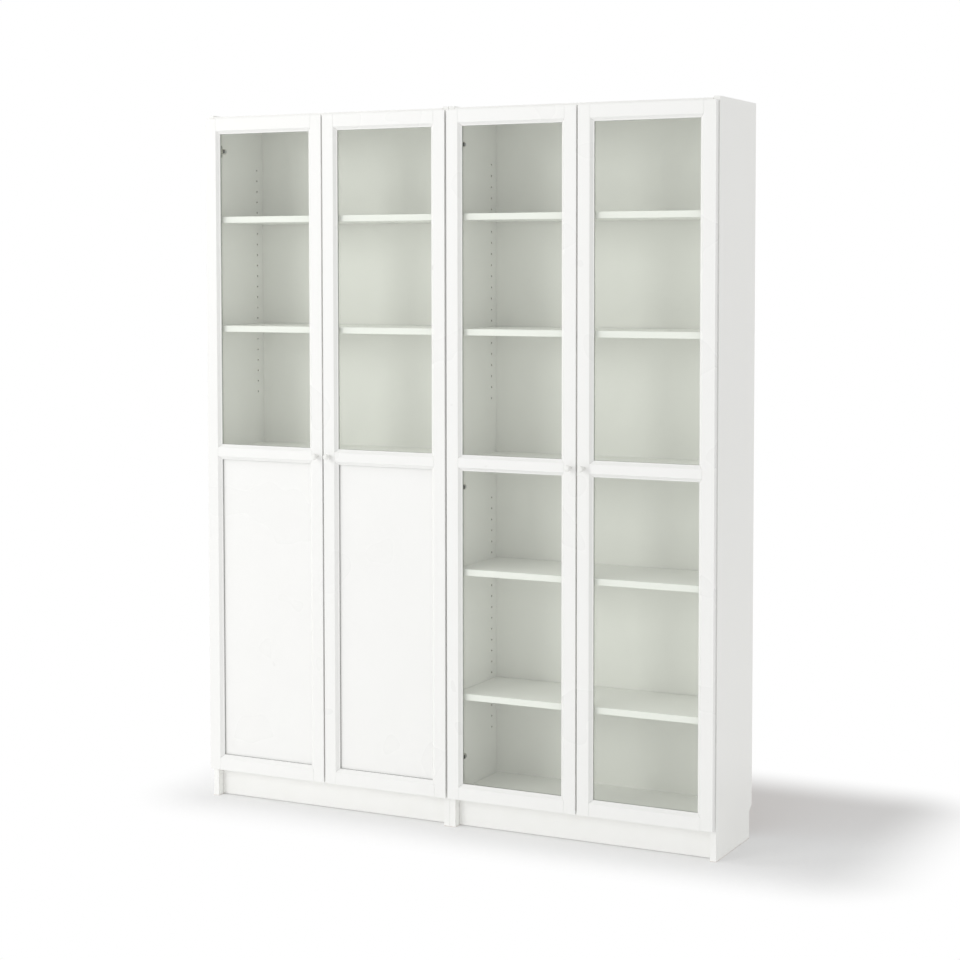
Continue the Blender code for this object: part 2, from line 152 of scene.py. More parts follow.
# Bored chipboard: the same chips torn by the drill, in darker browns than the sawn ones as painted
# shade for the inside of the pin holes.
bored_and_shaded = chipboard("bored_chipboard_painted_shade", "86694a", "4c3822", 0.0015)


def block(low, high):
    """A box between two opposite corners."""
    low, high = Vector(low), Vector(high)
    shape = bmesh.new()
    bmesh.ops.create_cube(shape, size=1.0)
    bmesh.ops.scale(shape, vec=[abs(b - a) for a, b in zip(low, high)], verts=shape.verts)
    bmesh.ops.translate(shape, vec=(low + high) / 2, verts=shape.verts)
    return shape


def rod(start, end, radius, sides=16, far_radius=None):
    """A round bar from one point to another, which may taper."""
    start, end = Vector(start), Vector(end)
    turn = (end - start).to_track_quat("Z", "Y").to_matrix().to_4x4()
    shape = bmesh.new()
    bmesh.ops.create_cone(
        shape, cap_ends=True, segments=sides, radius1=radius,
        radius2=radius if far_radius is None else far_radius,
        depth=(end - start).length, matrix=Matrix.Translation((start + end) / 2) @ turn)
    return shape


def prism(outline, push):
    """The solid that a flat outline sweeps along a push."""
    shape = bmesh.new()
    face = shape.faces.new([shape.verts.new(point) for point in outline])
    swept = bmesh.ops.extrude_face_region(shape, geom=[face])["geom"]
    far = [item for item in swept if isinstance(item, bmesh.types.BMVert)]
    bmesh.ops.translate(shape, vec=push, verts=far)
    bmesh.ops.recalc_face_normals(shape, faces=shape.faces)
    return shape


def bevel(shape, edges, width, steps=1):
    """The shape with some of its edges rounded, or chamfered in one step."""
    bmesh.ops.bevel(shape, geom=edges, offset=width, segments=steps, profile=0.5,
                    affect="EDGES", material=-1, clamp_overlap=True)
    return shape


def gather(*shapes):
    """Several shapes as the loose parts of one."""
    whole = bmesh.new()
    for shape in shapes:
        mesh = bpy.data.meshes.new("part")
        shape.to_mesh(mesh)
        shape.free()
        whole.from_mesh(mesh)
        bpy.data.meshes.remove(mesh)
    return whole


def worked(shape, *steps):
    """What is left of a shape once others have been cut from it or joined to it."""
    def held(form):
        mesh = bpy.data.meshes.new("held")
        form.to_mesh(mesh)
        form.free()
        thing = bpy.data.objects.new("held", mesh)
        bpy.context.scene.collection.objects.link(thing)
        return thing

    blank = held(shape)
    tools = [(operation, held(tool)) for operation, tool in steps]
    for operation, tool in tools:
        change = blank.modifiers.new("work", "BOOLEAN")
        change.operation = operation
        change.solver = "EXACT"
        change.object = tool
    mesh = bpy.data.meshes.new_from_object(
        blank.evaluated_get(bpy.context.evaluated_depsgraph_get()))
    result = bmesh.new()
    result.from_mesh(mesh)
    bpy.data.meshes.remove(mesh)
    for thing in (blank, *(tool for operation, tool in tools)):
        spare = thing.data
        bpy.data.objects.remove(thing)
        bpy.data.meshes.remove(spare)
    return result


def paint(shape, number, test):
    """Gives the faces that pass a test the look of that number."""
    for face in shape.faces:
        if test(face.calc_center_median(), face.normal):
            face.material_index = number
    return shape


def piece(name, shape, body, looks, stands_for=(), smooth_below=35):
    """A finished piece: its mesh in place, its looks, and the body that carries it."""
    mesh = bpy.data.meshes.new(name)
    shape.to_mesh(mesh)
    shape.free()
    for look in looks:
        mesh.materials.append(look)
    mesh.shade_smooth()
    mesh.set_sharp_from_angle(angle=math.radians(smooth_below))
    thing = bpy.data.objects.new(name, mesh)
    bpy.context.scene.collection.objects.link(thing)
    flats = thing.modifiers.new("flats_stay_flat", "WEIGHTED_NORMAL")
    flats.keep_sharp = True
    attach(thing, body)
    if stands_for:
        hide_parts(*stands_for)
    return thing


def side_board(low, high, inward):
    """A side between two corners, its inner face towards +X for inward 1, or -X for -1."""
    inner = high.x if inward > 0 else low.x
    front, rear, top = low.y, high.y, high.z
    notch = rear - NOTCH_DEPTH
    outline = [(inner, along, up) for along, up in (
        (front, low.z), (notch, low.z), (notch, NOTCH_HEIGHT),
        (rear, NOTCH_HEIGHT + NOTCH_SLANT), (rear, top), (front, top))]
    board = prism(outline, (-inward * BOARD, 0, 0))
    upright = [edge for edge in board.edges
               if all(abs(point.co.y - front) < EASE for point in edge.verts)
               and abs(edge.verts[0].co.z - edge.verts[1].co.z) > BOARD]
    bevel(board, upright, FRONT_EASE, 2)
    board.normal_update()
    bevel(board, [edge for edge in board.edges if edge.calc_face_angle(0) > 0.9], EASE, 2)
    groove = block((inner + inward * OVERSHOOT, GROOVE[0], -OVERSHOOT),
                   (inner - inward * GROOVE_DEPTH, GROOVE[1], top + OVERSHOOT))
    holes = [
        rod((inner + inward * OVERSHOOT, along, TOP_PIN_ROW - row * ROW_PITCH),
            (inner - inward * PIN_HOLE_DEPTH, along, TOP_PIN_ROW - row * ROW_PITCH),
            PIN_HOLE_RADIUS, 12)
        for along in PIN_COLUMNS for row in PIN_ROWS]
    board = worked(board, ("DIFFERENCE", groove), ("DIFFERENCE", gather(*holes)))
    paint(board, 1, lambda at, normal: at.y < front + EASE and normal.y < -0.5)
    paint(board, 2, lambda at, normal: at.z < low.z + EASE)
    # The walls of the pin holes and the groove take the bored look: raw chipboard, with painted
    # shade in its darker browns.
    paint(board, 3, lambda at, normal: low.x + EASE < at.x < high.x - EASE
          and abs(at.x - inner) < PIN_HOLE_DEPTH + EASE
          and front + FRONT_EASE < at.y < GROOVE[1] + EASE
          and low.z + EASE < at.z < top - EASE and abs(at.y - notch) > HAIR)
    return board


for unit in (1, 2):
    for end, inward in (("left", 1), ("right", -1)):
        node = f"unit_{unit}_side_{end}"
        piece(f"unit_{unit}_{end}_side_board", side_board(*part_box(node), inward), "cabinet",
              (foil, band, sawn, bored_and_shaded), (node,))


# ---------------------------------------------------------------------------------------
# Boards between the sides: top, bottom, fixed shelf and plinth. They are the same foiled
# chipboard, banded in front, and each is drawn up against the sides by cams that sit flush
# in its underside.

CAM_RADIUS = 0.0075
CAM_ROOM = 0.0002           # cam to the wall of its bore
CAM_EASE = 0.0006
CAM_DEPTH = 0.0125
CAM_FROM_END = 0.034
CAM_COLUMNS = (-0.075, 0.095)
CAM_SLOT = 0.0016
CAM_SLOT_DEPTH = 0.0015

# Zinc alloy, die cast and tumbled: dull grey, with a soft metal sheen.
zinc, shader, place = new_look(
    "die_cast_zinc", Base_Color=linear("a9a9a6"), Metallic=1.0, Roughness=0.42)
pits = add(zinc, "ShaderNodeTexNoise", {"Vector": place, "Scale": 1 / 0.0012, "Detail": 3.0})
dull = add(zinc, "ShaderNodeMapRange", {
    "Value": pits.outputs["Fac"], "To Min": 0.30, "To Max": 0.60})
dents = add(zinc, "ShaderNodeBump", {
    "Height": pits.outputs["Fac"], "Strength": 0.4, "Distance": 0.0001})
feed(zinc, shader, {"Roughness": dull.outputs["Result"], "Normal": dents.outputs["Normal"]})


for unit in (1, 2):
    discs = []
    for name in ("top_panel", "bottom_panel", "fixed_shelf", "plinth"):
        node = f"unit_{unit}_{name}"
        low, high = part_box(node)
        board = block(low, high)
        bevel(board, board.edges[:], EASE, 2)
        cuts = []
        if name == "top_panel":
            cuts.append(block((low.x - OVERSHOOT, GROOVE[0], low.z - OVERSHOOT),
                              (high.x + OVERSHOOT, GROOVE[1], low.z + GROOVE_DEPTH)))
        if name != "plinth":
            for across in (low.x + CAM_FROM_END, high.x - CAM_FROM_END):
                for along in CAM_COLUMNS:
                    foot = Vector((across, along, low.z))
                    up = Vector((0, 0, CAM_DEPTH))
                    cuts.append(rod(foot - up * 0.1, foot + up, CAM_RADIUS + CAM_ROOM, 24))
                    disc = rod(foot + up * 0.04, foot + up * 0.9, CAM_RADIUS, 24)
                    rim = [edge for edge in disc.edges
                           if all(point.co.z < foot.z + CAM_DEPTH / 2 for point in edge.verts)]
                    bevel(disc, rim, CAM_EASE, 2)
                    long, short = CAM_RADIUS * 0.6, CAM_SLOT / 2
                    for reach in ((long, short), (short, long)):
                        spread = Vector((*reach, CAM_SLOT_DEPTH))
                        disc = worked(disc, ("DIFFERENCE", block(foot - spread, foot + spread)))
                    discs.append(disc)
        if cuts:
            board = worked(board, ("DIFFERENCE", gather(*cuts)))
        paint(board, 1, lambda at, normal: at.y < low.y + EASE and normal.y < -0.5)
        paint(board, 2, lambda at, normal: abs(normal.x) > 0.99)
        paint(board, 2, lambda at, normal: at.z > low.z + EASE and at.z < high.z - EASE
              and low.y + EASE < at.y < high.y - EASE)
        piece(f"unit_{unit}_{name}_board", board, "cabinet",
              (foil, band, sawn), (node,))
    piece(f"unit_{unit}_cams", gather(*discs), "cabinet", (zinc,))


# ---------------------------------------------------------------------------------------
# Back panels: 3.5 mm hardboard, printed white on the room side and left raw behind. Each
# slides down in the grooves and is nailed to the rear edges of the fixed boards.

NAIL_RADIUS = 0.0022
NAIL_HEAD = 0.0008
NAIL_ROWS = (0.092, 1.035)
NAIL_PITCH = 0.112
NAILS_EACH_WAY = 3          # beside the middle one

# Printed hardboard: a thin coat of white paint on pressed fibre, flatter than the foil.
printed = coated("printed_hardboard", "fafaf6", "f6f6f2", 0.07, (0.48, 0.60), 0.0020, 3.0e-5)
# Raw hardboard: brown wood fibre, pressed smooth, with darker bits and a faint mesh.
raw, shader, place = new_look("raw_hardboard", Roughness=0.72, IOR=1.45)
blotches = add(raw, "ShaderNodeTexNoise", {"Vector": place, "Scale": 1 / 0.05, "Detail": 6.0})
fibres = add(raw, "ShaderNodeTexNoise", {
    "Vector": place, "Scale": 1 / 0.0022, "Detail": 4.0, "Distortion": 1.5})
base = add(raw, "ShaderNodeMix", {
    0: blotches.outputs["Fac"], 6: linear("8c6b49"), 7: linear("a5835c")}, data_type="RGBA")
flecks = add(raw, "ShaderNodeMapRange", {
    "Value": fibres.outputs["Fac"], "From Min": 0.42, "From Max": 0.60, "To Max": 0.55})
mixed = add(raw, "ShaderNodeMix", {
    0: flecks.outputs["Result"], 6: base.outputs[2], 7: linear("6f5136")}, data_type="RGBA")
felted = add(raw, "ShaderNodeBump", {
    "Height": fibres.outputs["Fac"], "Strength": 0.6, "Distance": 0.0001})
feed(raw, shader, {"Base Color": mixed.outputs[2], "Normal": felted.outputs["Normal"]})

for unit in (1, 2):
    node = f"unit_{unit}_back_panel"
    low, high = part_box(node)
    board = block(low, high)
    bevel(board, board.edges[:], EASE / 2, 1)
    paint(board, 1, lambda at, normal: normal.y > -0.5)
    piece(f"unit_{unit}_back_board", board, "cabinet", (printed, raw), (node,))
    middle = (low.x + high.x) / 2
    nails = []
    for up in NAIL_ROWS:
        for step in range(-NAILS_EACH_WAY, NAILS_EACH_WAY + 1):
            across = middle + step * NAIL_PITCH
            nails.append(rod((across, high.y - HAIR, up), (across, high.y + NAIL_HEAD, up),
                             NAIL_RADIUS, 12, NAIL_RADIUS * 0.7))
    piece(f"unit_{unit}_back_nails", gather(*nails), "cabinet", (zinc,))


# ---------------------------------------------------------------------------------------
# Adjustable shelves: foiled chipboard, banded in front, with a small recess over each of
# the four steel pins that carry it. The pins push into the sides up to a thin collar.

PIN_RADIUS = 0.0025
PIN_REACH = 0.008
PIN_RISE = 0.0035
COLLAR_RADIUS = 0.0036
COLLAR = 0.0005
PIN_RECESS = 0.00015
PIN_EASE = 0.0004
END_ROOM = 0.0008           # side to the end of a shelf

# Bright zinc on turned steel: pale, slightly bluish metal with fine rings from the lathe.
steel, shader, place = new_look(
    "zinc_plated_steel", Base_Color=linear("c4c6c8"), Metallic=1.0, Roughness=0.25)
cloudy = add(steel, "ShaderNodeTexNoise", {"Vector": place, "Scale": 1 / 0.0015, "Detail": 3.0})
satin = add(steel, "ShaderNodeMapRange", {
    "Value": cloudy.outputs["Fac"], "To Min": 0.16, "To Max": 0.38})
feed(steel, shader, {"Roughness": satin.outputs["Result"]})

for unit in (1, 2):
    wall_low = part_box(f"unit_{unit}_side_left")[1].x
    wall_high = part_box(f"unit_{unit}_side_right")[0].x
    for row in (1, 2, 3, 4):
        node = f"unit_{unit}_shelf_{row}"
        low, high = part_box(node)
        low.x, high.x = wall_low + END_ROOM, wall_high - END_ROOM
        board = block(low, high)
        bevel(board, board.edges[:], EASE, 2)
        pins, recesses = [], []
        for wall, inward in ((wall_low, 1), (wall_high, -1)):
            for along in PIN_COLUMNS:
                centre = Vector((wall, along, low.z + PIN_RISE))
                out = Vector((-inward, 0, 0))
                pin = rod(centre - out * PIN_REACH, centre + out * PIN_REACH, PIN_RADIUS, 16)
                bevel(pin, [edge for edge in pin.edges
                            if abs(edge.verts[0].co.x - edge.verts[1].co.x) < EASE], PIN_EASE, 1)
                collar = rod(centre - out * (COLLAR + HAIR), centre - out * HAIR,
                             COLLAR_RADIUS, 16)
                pins += [pin, collar]
                room = PIN_RADIUS + PIN_RECESS
                near = centre - out * (PIN_REACH + PIN_RECESS)
                recesses.append(rod(near, centre + out * OVERSHOOT, room, 16))
                recesses.append(block(
                    (near.x, along - room, low.z - OVERSHOOT),
                    (wall + out.x * OVERSHOOT, along + room, centre.z)))
        for recess in recesses:
            board = worked(board, ("DIFFERENCE", recess))
        paint(board, 1, lambda at, normal: at.y < low.y + EASE and normal.y < -0.5)
        paint(board, 2, lambda at, normal: at.z > low.z + EASE and at.z < high.z - EASE
              and low.y + EASE < at.y < high.y - EASE)
        piece(f"unit_{unit}_shelf_{row}_board", board, "cabinet",
              (foil, band, sawn), (node,))
        piece(f"unit_{unit}_shelf_{row}_pins", gather(*pins), "cabinet", (steel,))


# ---------------------------------------------------------------------------------------
# Door frames: two full-height stiles and three rails between them, cut from fibreboard,
# lacquered white and glued. A slope and a narrow flat run round each opening and meet in
# mitres, and the joints show as hairlines. Behind, a rebate holds the panes and the stile is
# bored for cups.

DOOR = 0.018
FACE = 0.035                # face of a stile or an outer rail, up to the slope
LIP = 0.0075                # slope round an opening, as deep as it is wide
LIP_FLAT = 0.0025           # narrow flat between the slope and the opening
MID_RISE = 0.950
MID_FACE = 0.0125           # half the face of the middle rail
JOINT = 0.0003              # chamfer along the seams between the members
ROUND = 0.0015
REBATE = 0.040
REBATE_FLOOR = 0.014
CUP_CENTRE = 0.0205
CUP_BORE = 0.0175
CUP_BORE_FLOOR = 0.0032
HINGE_RISES = (0.1078, 0.8758, 1.8358)

# White lacquer sprayed on fibreboard and sanded between coats: the whitest surface here,
# with a soft gloss. Its spray ripple is about 1 mm, drawn at 4 mm so that it shows.
lacquer = coated("sprayed_white_lacquer", "f7f7f5", "f4f4f2", 0.16, (0.26, 0.34), 0.0040,
                 8.0e-6)

DOORS = {1: "left", 2: "right", 3: "left", 4: "right"}      # the side that each is hung on


def member(outline, slopes, width, height):
    """A stile or rail, from its outline on the face and the pairs of points its slopes start at.

    Between the points of a pair lie the two where the slope ends and the two where the flat does.
    """
    shape = bmesh.new()
    corners = [shape.verts.new((across, 0.0, up)) for across, up in outline]
    shape.faces.new(corners)
    for first, last in slopes:
        bmesh.ops.connect_vert_pair(shape, verts=[corners[first], corners[last]])
        bmesh.ops.connect_vert_pair(shape, verts=[corners[first + 1], corners[last - 1]])
    swept = bmesh.ops.extrude_face_region(shape, geom=shape.faces[:])["geom"]
    behind = [item for item in swept if isinstance(item, bmesh.types.BMVert)]
    bmesh.ops.translate(shape, vec=(0, DOOR, 0), verts=behind)
    for first, last in slopes:
        for number in range(first + 1, last):
            corners[number].co.y = LIP
    bmesh.ops.recalc_face_normals(shape, faces=shape.faces)
    shape.normal_update()

    def near(value, *others):
        return any(abs(value - other) < JOINT / 2 for other in others)

    def outer(edge):
        one, two = (point.co for point in edge.verts)
        return ((near(one.x, 0, width) and near(one.x, two.x))
                or (near(one.z, 0, height) and near(one.z, two.z)))

    def at_back(edge):
        return all(near(point.co.y, DOOR) for point in edge.verts)

    bevel(shape, [edge for edge in shape.edges
                  if not outer(edge) and edge.calc_face_angle(0) > 0.1], JOINT, 1)
    rounded = []
    for edge in shape.edges:
        if outer(edge) and not at_back(edge):
            one, two = (point.co for point in edge.verts)
            if near(one.y, 0) and near(two.y, 0):
                rounded.append(edge)
            elif near(one.x, 0, width) and near(two.x, one.x) and near(one.z, 0, height):
                rounded.append(edge)
    bevel(shape, rounded, ROUND, 4)
    return shape


def frame_members(width, height):
    """The five members of a door hung on its left, with the hinge edge at 0."""
    inset = LIP + LIP_FLAT
    far, top = width - FACE, height - FACE
    low, high = MID_RISE - MID_FACE, MID_RISE + MID_FACE

    def upright(foot, head):
        """The points of one slope and flat along a stile."""
        return [(FACE, foot), (FACE + LIP, foot + LIP), (FACE + inset, foot + inset),
                (FACE + inset, head - inset), (FACE + LIP, head - LIP), (FACE, head)]

    def level(start, inward):
        """The points of one slope and flat along a rail, which starts at a height."""
        ends = [(FACE + reach + JOINT, start + inward * reach) for reach in (0, LIP, inset)]
        return ends + [(width - across, up) for across, up in reversed(ends)]

    stile = [(0, 0), (FACE, 0), *upright(FACE, low), *upright(high, top), (FACE, height),
             (0, height)]
    rails = {
        "top_rail": [(FACE + JOINT, height), *level(top, -1), (far - JOINT, height)],
        "bottom_rail": [(FACE + JOINT, 0), *level(FACE, 1), (far - JOINT, 0)],
        "middle_rail": [*level(low, -1), *reversed(level(high, 1))],
    }
    slopes = {"top_rail": [(1, 6)], "bottom_rail": [(1, 6)], "middle_rail": [(0, 5), (6, 11)]}
    shapes = {name: member(rails[name], slopes[name], width, height) for name in rails}
    shapes["hinge_stile"] = member(stile, [(2, 7), (8, 13)], width, height)
    free = [(width - across, up) for across, up in stile]
    shapes["free_stile"] = member(free, [(2, 7), (8, 13)], width, height)
    for name in shapes:
        rebate = block((REBATE, REBATE_FLOOR, REBATE),
                       (width - REBATE, DOOR + OVERSHOOT, height - REBATE))
        cuts = [("DIFFERENCE", rebate)]
        if name == "hinge_stile":
            cuts += [("DIFFERENCE", rod((CUP_CENTRE, CUP_BORE_FLOOR, up),
                                        (CUP_CENTRE, DOOR + OVERSHOOT, up), CUP_BORE, 40))
                     for up in HINGE_RISES]
        shapes[name] = worked(shapes[name], *cuts)
    return shapes


def moved(shape, offset=(0, 0, 0), mirrored=False):
    """The shape set in its place, first turned to the other hand if it is mirrored."""
    if mirrored:
        bmesh.ops.scale(shape, vec=(-1, 1, 1), verts=shape.verts)
        bmesh.ops.reverse_faces(shape, faces=shape.faces)
    bmesh.ops.translate(shape, vec=offset, verts=shape.verts)
    return shape


for door, hung in DOORS.items():
    low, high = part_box(f"door_{door}_frame")
    corner = (low.x if hung == "left" else high.x, low.y, low.z)
    for name, shape in frame_members(high.x - low.x, high.z - low.z).items():
        piece(f"door_{door}_{name}", moved(shape, corner, hung == "right"), f"door_{door}",
              (lacquer,), (f"door_{door}_frame",))
    if door < 3:
        panel = bpy.data.objects[f"door_{door}_lower_panel"]
        panel.material_slots[0].material = lacquer


# ---------------------------------------------------------------------------------------
# Panes: clear 4 mm float glass, its edges ground, laid in the rebate from behind. A thin
# dark grey strip on the walls of each opening, in front of the pane or panel, is painted
# shade for the shadow there. Small plastic clips screwed to the frame hold the glass and
# the solid lower panels.

STRIP_DEPTH = 0.0019               # depth of the strip, in front of the pane
STRIP_PROUD = 0.0002         # from the wall of the opening, and as much sunk into it
CLIP_RISES = (0.260, 0.620, 1.120, 1.560)
CLIP_LENGTH = 0.015
CLIP_WIDTH = 0.009
CLIP = 0.0012
CLIP_CORNER = 0.003
CLIP_EASE = 0.0003
CLIP_START = 0.030          # edge of the door to the clip
CLIP_SCREW = (0.0024, 0.0008)       # radius and rise of the head
CLIP_SCREW_IN = 0.0045      # outer end of the clip to its screw

# Float glass: clear, with the faint green of the iron in it. Rays from lamps and from
# the boards inside pass straight through, so that the pane lets the room's light in.
glass, shader, place = new_look(
    "clear_float_glass", Base_Color=linear("fbfdfa"), Roughness=0.0, IOR=1.5,
    Transmission_Weight=1.0)
path = add(glass, "ShaderNodeLightPath")
open_way = add(glass, "ShaderNodeBsdfTransparent", {"Color": linear("fcfdfb")})
for_boards = add(glass, "ShaderNodeMixShader", {
    0: path.outputs["Is Diffuse Ray"], 1: shader.outputs[0], 2: open_way.outputs[0]})
for_lamps = add(glass, "ShaderNodeMixShader", {
    0: path.outputs["Is Shadow Ray"], 1: for_boards.outputs[0], 2: open_way.outputs[0]})
feed(glass, glass.node_tree.nodes["Material Output"], {"Surface": for_lamps.outputs[0]})

# Moulded white nylon: milky and a little waxy, with light passing just under the skin.
nylon, shader, place = new_look(
    "moulded_nylon", Base_Color=linear("f0f0ec"), Roughness=0.38, IOR=1.53)
flow = add(nylon, "ShaderNodeTexNoise", {"Vector": place, "Scale": 1 / 0.004, "Detail": 2.0})
waxy = add(nylon, "ShaderNodeMapRange", {
    "Value": flow.outputs["Fac"], "To Min": 0.30, "To Max": 0.48})
feed(nylon, shader, {"Roughness": waxy.outputs["Result"]})

# Grey strip drawn as foam rubber, matt, its dark grey painted shade for the shadow round
# the openings; closed cells of about 0.2 mm are drawn at 0.6 mm so that they show.
shade_strip_look, shader, place = new_look("grey_strip_painted_shade", Roughness=0.9, IOR=1.45)
cells = add(shade_strip_look, "ShaderNodeTexVoronoi", {"Vector": place, "Scale": 1 / 0.0006})
greys = add(shade_strip_look, "ShaderNodeMix", {
    0: cells.outputs["Distance"], 6: linear("5d605e"), 7: linear("787b78")}, data_type="RGBA")
pores = add(shade_strip_look, "ShaderNodeBump", {
    "Height": cells.outputs["Distance"], "Strength": 0.5, "Distance": 0.0001})
feed(shade_strip_look, shader, {"Base Color": greys.outputs[2], "Normal": pores.outputs["Normal"]})


def shade_strip(low, high, front):
    """A dark strip of painted shade round an opening between two corners, on its walls in front of
    the pane.
    """
    ring = block((low[0] - STRIP_PROUD, front, low[1] - STRIP_PROUD),
                 (high[0] + STRIP_PROUD, front + STRIP_DEPTH, high[1] + STRIP_PROUD))
    hole = block((low[0] + STRIP_PROUD, front - OVERSHOOT, low[1] + STRIP_PROUD),
                 (high[0] - STRIP_PROUD, front + STRIP_DEPTH + OVERSHOOT, high[1] - STRIP_PROUD))
    return worked(ring, ("DIFFERENCE", hole))


def screw_head(centre, out, radius, rise):
    """A pan head with a cross recess, its seat at the centre and its top along out."""
    centre, out = Vector(centre), Vector(out).normalized()
    head = rod(centre, centre + out * rise, radius, 20)
    top = [edge for edge in head.edges
           if all((point.co - centre).dot(out) > rise / 2 for point in edge.verts)]
    bevel(head, top, rise * 0.6, 3)
    up = Vector((0, 0, 1)) if abs(out.z) < 0.5 else Vector((0, 1, 0))
    across = out.cross(up)
    for one, two in ((up, across), (across, up)):
        reach = one * radius * 0.55 + two * radius * 0.11 + out * rise * 0.55
        slot = block([-abs(v) for v in reach], [abs(v) for v in reach])
        bmesh.ops.translate(slot, vec=centre + out * rise, verts=slot.verts)
        head = worked(head, ("DIFFERENCE", slot))
    return head


for door, hung in DOORS.items():
    bpy.data.objects[f"door_{door}_glass"].material_slots[0].material = glass
    low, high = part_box(f"door_{door}_frame")
    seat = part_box(f"door_{door}_glass")[1].y + HAIR
    clips, heads = [], []
    for edge, inward in ((low.x, 1), (high.x, -1)):
        for rise in CLIP_RISES:
            up = low.z + rise
            clips.append(((edge + inward * CLIP_START, up - CLIP_WIDTH / 2),
                          (edge + inward * (CLIP_START + CLIP_LENGTH), up + CLIP_WIDTH / 2),
                          (edge + inward * (CLIP_START + CLIP_SCREW_IN), up)))
    middle = (low.x + high.x) / 2
    for edge, inward in ((low.z, 1), (high.z, -1)):
        clips.append(((middle - CLIP_WIDTH / 2, edge + inward * CLIP_START),
                      (middle + CLIP_WIDTH / 2, edge + inward * (CLIP_START + CLIP_LENGTH)),
                      (middle, edge + inward * (CLIP_START + CLIP_SCREW_IN))))
    shapes = []
    for one, two, screw in clips:
        clip = block((one[0], seat, one[1]), (two[0], seat + CLIP, two[1]))
        bevel(clip, [edge for edge in clip.edges
                     if abs(edge.verts[0].co.y - edge.verts[1].co.y) > CLIP / 2], CLIP_CORNER, 4)
        bevel(clip, [edge for edge in clip.edges
                     if all(point.co.y > seat + CLIP / 2 for point in edge.verts)], CLIP_EASE, 1)
        shapes.append(clip)
        heads.append(screw_head((screw[0], seat + CLIP, screw[1]), (0, 1, 0), *CLIP_SCREW))
    piece(f"door_{door}_pane_clips", gather(*shapes), f"door_{door}", (nylon,))
    edge = FACE + LIP + LIP_FLAT
    half = MID_FACE + LIP + LIP_FLAT
    front = low.y + REBATE_FLOOR - STRIP_DEPTH - HAIR
    openings = ((edge, MID_RISE - half), (MID_RISE + half, high.z - low.z - edge))
    # The dark grey strips round both openings are painted shade for the shadow at the foot of the
    # slopes.
    strips = [shade_strip((low.x + edge, low.z + foot), (high.x - edge, low.z + head), front)
              for foot, head in openings]
    piece(f"door_{door}_shade_strips", gather(*strips), f"door_{door}", (shade_strip_look,))
    piece(f"door_{door}_clip_screws", gather(*heads), f"door_{door}", (steel,))


# ---------------------------------------------------------------------------------------
# Knobs: small round knobs of painted zinc, each with a waisted neck on a flat foot, held
# by one screw through the free stile.

KNOB_FOOT_RADIUS = 0.006
KNOB_NECK_RADIUS = 0.0045
KNOB_SCREW = (0.0038, 0.0016)

# Powder coat, sprayed dry and baked: white, even, with a fine pebbled skin of about
# 0.4 mm that is drawn at 0.8 mm so that it shows.
powder = coated("powder_coated_zinc", "f5f5f2", "f0f0ed", 0.02, (0.28, 0.36), 0.0008, 1.5e-5)

for door, hung in DOORS.items():
    low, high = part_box(f"door_{door}_knob")
    centre = Vector(((low.x + high.x) / 2, 0, (low.z + high.z) / 2))
    radius = (high.x - low.x) / 2
    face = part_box(f"door_{door}_frame")[0].y
    tip = low.y
    profile = bmesh.new()
    points = [profile.verts.new((across, along, 0)) for across, along in (
        (0, face - HAIR), (KNOB_FOOT_RADIUS, face - HAIR), (KNOB_FOOT_RADIUS, face - 0.0018),
        (KNOB_FOOT_RADIUS - 0.0008, face - 0.0025), (KNOB_NECK_RADIUS + 0.0002, face - 0.0032),
        (KNOB_NECK_RADIUS, face - 0.0060), (KNOB_NECK_RADIUS + 0.0002, face - 0.0085),
        (KNOB_NECK_RADIUS + 0.0010, face - 0.0105), (radius - 0.0016, face - 0.0130),
        (radius - 0.0004, face - 0.0145), (radius, face - 0.0160), (radius - 0.0003, tip + 0.0036),
        (radius - 0.0012, tip + 0.0020), (radius - 0.0030, tip + 0.0008),
        (radius - 0.0055, tip + 0.0002), (0, tip))]
    lines = [profile.edges.new(pair) for pair in zip(points, points[1:])]
    bmesh.ops.spin(profile, geom=points + lines, cent=(0, 0, 0), axis=(0, 1, 0),
                   angle=math.tau, steps=40, use_merge=True)
    bmesh.ops.remove_doubles(profile, verts=profile.verts, dist=1e-5)
    bmesh.ops.recalc_face_normals(profile, faces=profile.faces)
    piece(f"door_{door}_turned_knob", moved(profile, centre), f"door_{door}",
          (powder,), (f"door_{door}_knob",), 50)
    back = face + DOOR
    piece(f"door_{door}_knob_screw",
          screw_head((centre.x, back - HAIR, centre.z), (0, 1, 0), *KNOB_SCREW),
          f"door_{door}", (steel,))


# ---------------------------------------------------------------------------------------
# Hinges: three to a door, pressed from steel and nickel plated. A cup with two wings is
# screwed into the stile, and an arm turns on its pin and clips to a plate on the side.

CUP_RADIUS = 0.0172
CUP_HOLLOW = 0.0163
CUP_LIP = 0.0011            # door back to the outer face of the wings
CUP_RIM = 0.0007            # lower than the wings, so that the open arm clears it
CUP_DEPTH = 0.0145
CUP_FLOOR = 0.0007
WING_WIDTH = 0.014
WING_SPAN = 0.062
WING_CORNER = 0.0045
WING_LIFT = 0.0002          # door back to the inner face of the wings
WING_SCREWS = 0.024
WING_SCREW = (0.0036, 0.0010)
PLATE_SCREW = (0.0042, 0.0012)
ARM_SCREW = (0.0032, 0.0010)
PIVOT_RADIUS = 0.001
EYE_RADIUS = 0.002
PIVOT_DEPTH = 0.0115        # door back to the pivot
PIVOT_ACROSS = 0.0075       # hinge edge of the door to the pivot
ARM_THICKNESS = 0.002
ARM_WIDTH = 0.009
ARM_OFFSET = 0.0129
ARM_REACH = 0.060
ARM_EASE = 0.0004
ARM_SCREWS = (0.008, 0.034)         # start of the plate to the screws of the arm
PLATE_START = 0.020
PLATE_HALF = 0.018
PLATE_THICKNESS = 0.0020
